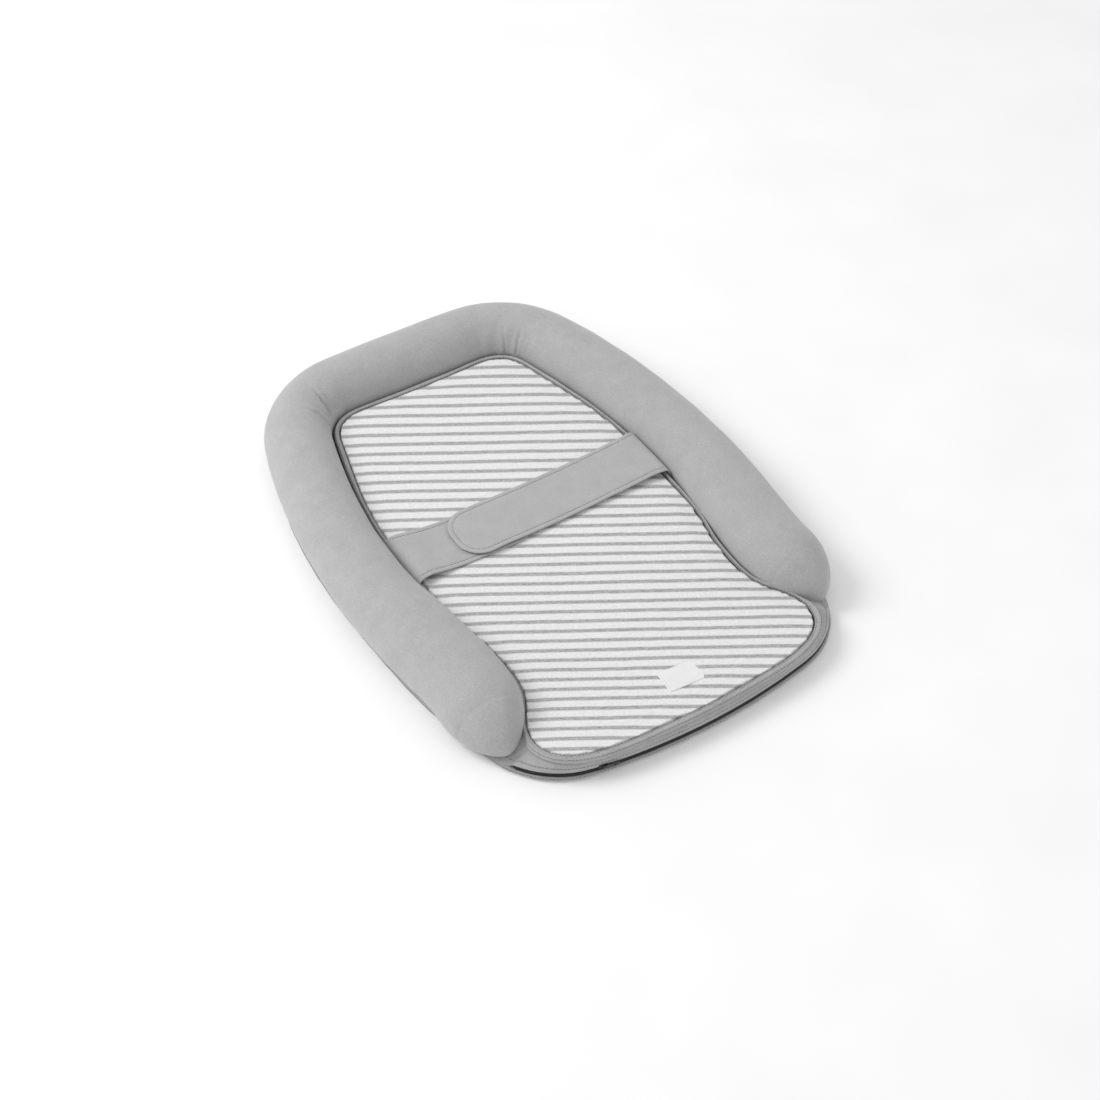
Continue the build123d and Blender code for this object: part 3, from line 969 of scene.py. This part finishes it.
def build_tape(name, node, insets, heights):
    """One side of the zip's woven tape, softly fluttering, with a front and a back."""
    share = np.linspace(0, 1, 7)
    along = along_path(ZIP_LINE)[:, None]
    flutter = 0.18 * MM * np.sin(along / (7 * MM)) * np.sin(share * math.pi)
    inset, height = (low + (high - low) * share for low, high in (insets, heights))
    front = loft(ZIP_LINE, flutter - inset, height, ZIP_OUT)
    back = front[:, ::-1] - np.c_[ZIP_OUT, 0 * along][:, None] * 0.7 * MM
    v = np.r_[height, height[::-1]] - height[0]
    uv = np.stack(np.broadcast_arrays(along, v), 2)
    obj = grid_object(name, np.concatenate([front, back], 1), TAPE, closed_columns=True, uv=uv)
    close_up(obj)
    place_piece(obj, "zip_tape", node)


def helix(line, out, pitch, wide, tall, phase, wire, sides=6, steps=12):
    """Points of a coil of wire along a line: out is the way that its loops stick out."""
    along = along_path(line)
    count = int(along[-1] / pitch) * steps
    spots = np.linspace(0, along[-1], count)
    centre = sample(line, along, spots)
    ways = unit(np.c_[sample(out, along, spots), 0 * spots])
    turn = (2 * math.pi * np.arange(count) / steps + phase)[:, None]
    core = centre + ways * wide * np.cos(turn) + np.array([0, 0, tall]) * np.sin(turn)
    ahead = unit(np.gradient(core, axis=0))
    side = unit(np.cross(ahead, core - centre))
    lift = np.cross(side, ahead)
    round_it = (2 * math.pi * np.arange(sides) / sides)[:, None]
    return core[:, None] + wire * (side[:, None] * np.cos(round_it)
                                   + lift[:, None] * np.sin(round_it))


def build_zip():
    """Tapes, and two meshing coils along the foot end."""
    middle = (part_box("zip_coil_lower")[0].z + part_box("zip_coil_upper")[1].z) / 2
    build_tape("zip_tape_below", "zip_tape_lower", (1.9 * MM, 2.5 * MM),
               (5.2 * MM, middle - 0.6 * MM))
    build_tape("zip_tape_above", "zip_tape_upper", (2.9 * MM, 3.8 * MM),
               (middle + 0.6 * MM, middle + 2.2 * MM))
    trim = slice(2, -2)
    line, out = moved_in(ZIP_LINE, ZIP_OUT, 2.6 * MM, middle)[trim], ZIP_OUT[trim]
    for place, node, way, phase in (("below", "zip_coil_lower", -1, 0.0),
                                    ("above", "zip_coil_upper", 1, math.pi)):
        part = line + [0, 0, way * COIL_APART / 2]
        points = helix(part, out, COIL_PITCH, COIL_WIDE / 2, COIL_TALL / 2, phase, COIL_WIRE / 2)
        obj = grid_object(f"zip_coil_{place}", points, COIL, closed_columns=True)
        close_up(obj)
        place_piece(obj, "zip_coil", node)
    for node in ("zip_stops", "zip_slider", "zip_pull"):
        repaint(node, METAL)


# ---- Base ----


def base_section(beside, below_zip):
    """Offsets and heights at each point of the base's edge, from its two sections in mm.

    One is beside the roll, where the base draws in under it, and one is below the zip.
    """
    share = ease((FOOT_LEFT_RIGHT + 6 * MM - BASE_LINE[:, 1]) / (12 * MM))[:, None]
    offsets, heights = (MM * (a * (1 - share) + b * share)
                        for a, b in zip(np.array(beside).T, np.array(below_zip).T))
    drawn_in = 3.6 * MM * ease((BASE_LINE[:, 1] + 190 * MM) / (150 * MM))
    return offsets - drawn_in[:, None], heights


def build_base():
    """Thin padded base, with its underside fabric."""
    low, high = 0.05 * MM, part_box("base_wadding")[1].z
    offsets, heights = base_section(
        [(-14, 0.0), (-9, 0.1), (-6.5, 0.6), (-5.4, 1.6), (-5.2, 3.0), (-5.2, 6.0), (-5.8, 7.4),
         (-8, 8.2), (-14, 8.4)],
        [(-24, 0.0), (-18, 0.1), (-13, 0.9), (-9, 2.4), (-7, 4.0), (-6, 5.6), (-6.4, 7.0),
         (-8.5, 8.0), (-14, 8.4)])
    points = loft(BASE_LINE, offsets, np.clip(heights, low, high))
    obj = solid_object("base_pad", points)
    with editing(obj.data) as work:
        bmesh.ops.triangulate(work, faces=[f for f in work.faces if len(f.verts) > 4])
    finish_cushion(obj, UNDERSIDE, "underside_fabric", 0.3, "bottom_panel", "base_wadding")


def build_base_edge():
    """Edge tape round the base, with a row of stitches."""
    beside = [(-7.0, 0.1), (-4.2, 0.3), (-2.0, 0.9), (-0.6, 1.8), (0, 3.0), (0, 4.4), (-0.3, 5.5),
              (-1.1, 6.4), (-2.2, 6.9), (-4.4, 7.0)]
    offsets, heights = base_section(
        beside,
        [(-14, 0.4), (-9.5, 1.5), (-6, 2.6), (-3.2, 3.6), (-1.2, 4.3), (-0.1, 4.9), (0, 5.4),
         (-0.4, 5.9), (-1.2, 6.1), (-3.4, 6.0)])
    soft = 0.15 * MM * np.sin(along_path(BASE_LINE) / (6.1 * MM))[:, None]
    points = loft(BASE_LINE, offsets + soft, np.minimum(heights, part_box("base_binding")[1].z))
    edge = strip_object("base_edge_tape", BASE_LINE, points, EDGING)
    ways = np.c_[outward(BASE_LINE), np.zeros(COUNT)]
    row = stitch_row("base_edge_stitches", "binding_jersey", looped(points[:, 5]), looped(ways))
    width = MM * along_path(beside)[-1]
    finish_strip(edge, "binding_jersey", "base_binding", (width, loop_length(BASE_LINE)),
                 rests_on="base_pad", with_pieces=[row])


build_mat()
build_binding()
build_mat_side()
build_foot_wall()
build_zip()
build_base()
build_base_edge()


# ---- Belt ----

# Middle line of each strap from its sewn root in the groove to its tip: (x, z) in millimetres
RIGHT_LINE = ((165.7, 12.5), (165.7, 22), (165.2, 29.4), (161.5, 33.8), (154, 35.2), (140, 34.8),
              (116, 33.6), (90, 32.7), (60, 31.8), (30, 31.4), (0, 31.6), (-20, 32.4), (-45, 33.2),
              (-75, 33.5), (-100.5, 32.9))
LEFT_LINE = ((-165.7, 12.5), (-165.7, 19), (-165.2, 27.0), (-162.0, 32.6), (-155, 35.2),
             (-146, 35.2), (-133, 32.9), (-118, 30.5), (-100, 29.3), (-60, 29.3), (-20, 29.1))

# Places across a strap from its edge inwards (mm): close together at the edge and the topstitching
STRAP_SPOTS = (0, 0.12, 0.5, 1.1, 1.8, 2.8, 3.9, 4.7, 5.2, 5.5, 5.8, 6.3, 7.2, 9, 12, 16, 21, 26, 31)
TIP_SPOTS = 14  # how many of them also lie in from the tip


def smooth_path(points, spacing=1 * MM):
    """Evenly spaced points on a smooth curve through the given ones."""
    points = np.array(points, float)
    padded = np.vstack([2 * points[0] - points[1], points, 2 * points[-1] - points[-2]])
    t = np.linspace(0, 1, 24, endpoint=False)[:, None]
    parts = []
    for a, b, c, d in zip(padded, padded[1:], padded[2:], padded[3:]):
        parts.append(0.5 * (2 * b + (c - a) * t + (2 * a - 5 * b + 4 * c - d) * t**2
                            + (3 * b - a - 3 * c + d) * t**3))
    curve = np.vstack(parts + [points[-1:]])
    along = along_path(curve)
    spots = np.linspace(0, along[-1], max(2, round(along[-1] / spacing)) + 1)
    return sample(curve, along, spots)


class Strap:
    """A sewn flat strap: length runs from its root to its rounded tip, width from side to side."""

    def __init__(self, line, thickness, tip_round, drift, seed):
        self.line = smooth_path(np.array(line) * MM)
        self.along = along_path(self.line)
        self.length = self.along[-1]
        self.side = 1 if line[0][0] > line[-1][0] else -1
        self.thickness = thickness
        self.tip_round = tip_round
        self.drift = drift  # sideways lean, per metre from the root
        self.seed = seed

    def straight_half(self, length):
        """Half width at a distance from the root, flared at the root, without the rounded tip."""
        return BELT_HALF_WIDTH + ROOT_FLARE * ease((42 * MM - length) / (26 * MM))

    def half_width(self, length):
        before_tip = self.tip_round - np.clip(self.length - length, 0, self.tip_round)
        tip = self.tip_round - np.sqrt(self.tip_round**2 - before_tip**2)
        return self.straight_half(length) - tip

    def inside(self, length, width):
        """Distance from the strap's edge, inwards."""
        left = self.length - length
        beside = self.straight_half(length) - np.abs(width)
        corner = self.tip_round - np.hypot(self.tip_round - left, self.tip_round - beside)
        rounded = (left < self.tip_round) & (beside < self.tip_round)
        return np.maximum(np.where(rounded, corner, np.minimum(left, beside)), 0)

    def surface(self, length, width, up):
        """Points on the upper (up = 1) or lower (up = -1) face."""
        middle, before, ahead = (sample(self.line, self.along, length + step)
                                 for step in (0, -1 * MM, 1 * MM))
        way = unit(ahead - before) * self.side
        gap = self.inside(length, width)
        thick = self.thickness * (0.62 + 0.38 * ease((length - 14 * MM) / (14 * MM)))
        body = thick / 2 * np.sqrt(1 - np.clip(1 - gap / EDGE_ROUND, 0, 1) ** 2)
        pinch = 0.6 * MM * bell(gap - TOPSTITCH_IN, 1.1 * MM)
        place = np.stack([length, width], -1).reshape(-1, 2)
        slack = waves(place, (0.028, 0.045, 0.07), self.seed).reshape(gap.shape)
        slack = slack * (0.5 + bell(gap, 5 * MM)) * ease((length - 20 * MM) / (12 * MM))
        off = up * (body - pinch) + 0.28 * MM * slack
        y = BELT_MIDDLE_Y + width + self.drift * length
        return np.stack([middle[..., 0] + way[..., 1] * off, y, middle[..., 1] - way[..., 0] * off], -1)

    def length_at(self, x):
        """Distance from the root to where the strap's flat run passes x."""
        run = np.flatnonzero(np.abs(self.line[:, 0]) < 158 * MM)
        order = run if self.side < 0 else run[::-1]
        return float(np.interp(x, self.line[order, 0], self.along[order]))

    def piece(self, name, start, end, material):
        """Object of the stretch from start to end, with its topstitching on both faces."""
        edge = np.r_[np.array(STRAP_SPOTS) * MM, BELT_HALF_WIDTH]
        rows = np.linspace(start, end, max(3, round((end - start) / (1.8 * MM))) + 1)
        if end >= self.length:
            near_tip = self.length - edge[:TIP_SPOTS]
            rows = np.unique(np.r_[rows[rows < near_tip.min() - 1 * MM], near_tip])
        share = np.r_[-1 + edge / BELT_HALF_WIDTH, (1 - edge / BELT_HALF_WIDTH)[-2::-1]]
        width = self.half_width(rows)[:, None] * share
        length = np.repeat(rows[:, None], width.shape[1], 1)
        upper, lower = (self.surface(length, width, up) for up in (1, -1))
        uv = np.stack([length, width], 2)
        points, uv = (np.concatenate([top, under[:, -2:0:-1]], 1)
                      for top, under in ((upper, lower), (uv, uv)))
        obj = solid_object(name, points, material, along_rows=True, uv=uv, sharp=True)
        rows = [(self.surface(*path.T, up), np.tile([0, 0, float(up)], (len(path), 1)))
                for up in (1, -1) for path in self.stitch_paths(max(start, 26 * MM), end)]
        sew(obj, rows, THREAD_AND_SEAM_SHADE)
        return obj

    def stitch_paths(self, start, end):
        """Topstitch lines within the stretch: (length, width) points."""
        side = BELT_HALF_WIDTH - TOPSTITCH_IN
        if end < self.length:
            run = np.linspace(start, end, 60)
            flare = self.half_width(run) - BELT_HALF_WIDTH
            return [np.stack([run, way * (side + flare)], 1) for way in (-1, 1)]
        radius = self.tip_round - TOPSTITCH_IN
        turn = np.linspace(0, math.pi / 2, 24)
        run = np.linspace(start, self.length - self.tip_round, 80)
        corner = np.stack([self.length - self.tip_round + radius * np.sin(turn),
                           side - radius * (1 - np.cos(turn))], 1)
        across = np.linspace(side - radius, radius - side, 30)[1:-1]
        end_line = np.stack([0 * across + self.length - TOPSTITCH_IN, across], 1)
        half = np.vstack([np.stack([run, 0 * run + side], 1), corner])
        return [np.vstack([half, end_line, (half * [1, -1])[::-1]])]


def build_belt():
    """Both straps, each cut into stretches, with the sewn root in the groove."""
    right, left = Strap(RIGHT_LINE, **RIGHT_STRAP), Strap(LEFT_LINE, **LEFT_STRAP)
    # Each stretch: its name, its body, where it starts and ends bending, its end and what it lies on
    for strap, hand, stretches in (
        (right, "right", (("base", "root", 165.2, 153, 141, ["mat_edge_binding"]),
                          ("hump", "middle", 124, 108, 91, ["mat_panel"]),
                          ("tip", "end", 74, 58, None, ["mat_panel", "belt_left_tip"]))),
        (left, "left", (("base", "root", 165.2, 153, 141, ["mat_edge_binding"]),
                        ("tip", "end", 124, 108, None, ["mat_panel"]))),
    ):
        before, start = "pad", 0
        for name, body, fold_start, fold_end, cut, rests_on in stretches:
            body = f"belt_{hand}_{body}"
            end = strap.length_at(strap.side * cut * MM) if cut else strap.length
            obj = strap.piece(f"belt_{hand}_{name}", start, end, BELT)
            anchor = [f"belt_anchor_{hand}"] if before == "pad" else []
            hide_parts(body, *anchor)
            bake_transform(obj)
            before, start = body, end
    repaint("hook_patch", HOOKS)
    repaint("loop_patch", LOOPS)


# ---- Label ----

LABEL_LONG = 47.0 * MM
LABEL_WIDE = 28.5 * MM
LABEL_TURN = math.radians(-4)
LABEL_THICK = 0.55 * MM


def build_label():
    """Small blank woven label, folded under and sewn at both short ends."""
    low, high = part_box("label")
    middle = (low + high) / 2
    half_long, half_wide, turn = LABEL_LONG / 2, LABEL_WIDE / 2, LABEL_TURN
    u, v = np.meshgrid(np.linspace(-half_long, half_long, 41),
                       np.linspace(-half_wide, half_wide, 15), indexing="ij")
    x = middle.x + u * math.cos(turn) - v * math.sin(turn)
    y = middle.y + u * math.sin(turn) + v * math.cos(turn)
    arch = 0.55 * MM * (1 - (u / half_long) ** 2) + 0.18 * MM * np.sin(u / (6 * MM)) * (v / half_wide)
    upper = np.stack([x, y, high.z + 0.15 * MM + arch], 2)
    rim = np.maximum(np.abs(u) / half_long, np.abs(v) / half_wide)
    lower = upper - np.array([0, 0, LABEL_THICK]) * (1 - 0.7 * ease((rim - 0.9) / 0.1))[..., None]
    numbers = point_numbers(upper)
    count = numbers.size
    faces = grid_faces(*numbers.shape).tolist()
    faces += [[k + count for k in reversed(face)] for face in faces]
    edge = np.r_[numbers[:, 0], numbers[-1, 1:], numbers[-2::-1, -1], numbers[0, -2:0:-1]].tolist()
    faces += [[a, b, b + count, a + count] for a, b in zip(edge, edge[1:] + edge[:1])]
    obj = mesh_object("label_tag", np.stack([upper, lower]), faces, LABEL)
    close_up(obj)
    up = np.tile([0, 0, 1.0], (numbers.shape[1], 1))
    sew(obj, [(upper[k] + [0, 0, 0.05 * MM], up) for k in (2, -3)], LABEL_THREAD, 0.2 * MM)
    finish_strip(obj, "label_tape", "label", (LABEL_WIDE, LABEL_LONG), held="laid")


# ---- Camera, light and floor ----

LOOK_AT = Vector((-15.8, -61.2, 27.0)) * MM
CAMERA_AZIMUTH = math.radians(-32.3)
CAMERA_ELEVATION = math.radians(45.79)
CAMERA_DISTANCE = 2.09
CAMERA_LENS = 62.18


def aim(obj, place):
    """Puts a camera or light in its place, turned to the middle of the view."""
    obj.location = place
    obj.rotation_mode = "QUATERNION"
    obj.rotation_quaternion = (LOOK_AT - obj.location).to_track_quat("-Z", "Y")


def build_camera():
    data = bpy.data.cameras.new("camera")
    data.lens = CAMERA_LENS
    data.sensor_width = 36.0
    data.clip_end = 50.0
    camera = add_to_scene("camera", data)
    back = Vector((math.sin(CAMERA_AZIMUTH) * math.cos(CAMERA_ELEVATION),
                   -math.cos(CAMERA_AZIMUTH) * math.cos(CAMERA_ELEVATION),
                   math.sin(CAMERA_ELEVATION)))
    aim(camera, LOOK_AT + back * CAMERA_DISTANCE)
    bpy.context.scene.camera = camera


def add_light(name, place, size, power):
    data = bpy.data.lights.new(name, "AREA")
    data.shape = "SQUARE"
    data.size = size
    data.energy = power
    aim(add_to_scene(name, data), place)


def build_studio():
    """Plain pale floor, one large soft light behind on the left, and an even white surround."""
    corners = [(-6, -6, 0), (6, -6, 0), (6, 6, 0), (-6, 6, 0)]
    mesh_object("floor", corners, [(0, 1, 2, 3)], paper_floor())
    add_light("key", (-1.9, 1.5, 2.3), 1.5, 55)
    add_light("fill", (1.4, -2.0, 2.0), 2.4, 2.5)
    world = bpy.data.worlds.new("surround")
    world.use_nodes = True
    background = world.node_tree.nodes["Background"]
    background.inputs["Color"].default_value = (1, 1, 1, 1)
    background.inputs["Strength"].default_value = 0.75
    bpy.context.scene.world = world
    bpy.context.scene.view_settings.view_transform = "Standard"


build_belt()
build_label()
build_camera()
build_studio()

bpy.context.view_layer.update()
